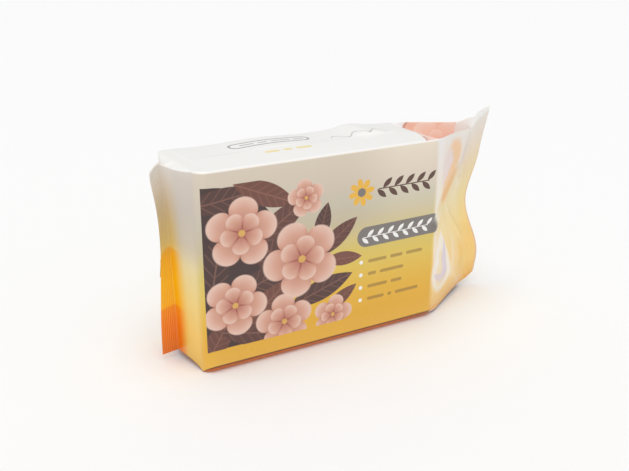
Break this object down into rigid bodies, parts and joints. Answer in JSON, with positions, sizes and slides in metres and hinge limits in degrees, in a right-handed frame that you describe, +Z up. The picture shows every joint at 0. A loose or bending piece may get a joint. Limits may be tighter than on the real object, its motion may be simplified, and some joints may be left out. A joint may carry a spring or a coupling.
{
  "type": "wet wipes pack",
  "caption": "Sealed film flow-wrap pack of folded wet wipes, standing on a narrow side, with tucked and crimped ends.",
  "frame": {"origin": "middle of the flat base, under the stack of wipes", "axes": "+X along the pack towards its long loose end, +Y towards the plain back, +Z up"},
  "size_m": [0.2233, 0.0573, 0.1195],
  "materials": {
    "printed_film": "glossy printed film, white above and golden below"
  },
  "bodies": {
    "root": {"wipes_pack": "printed_film"}
  },
  "joints": []
}
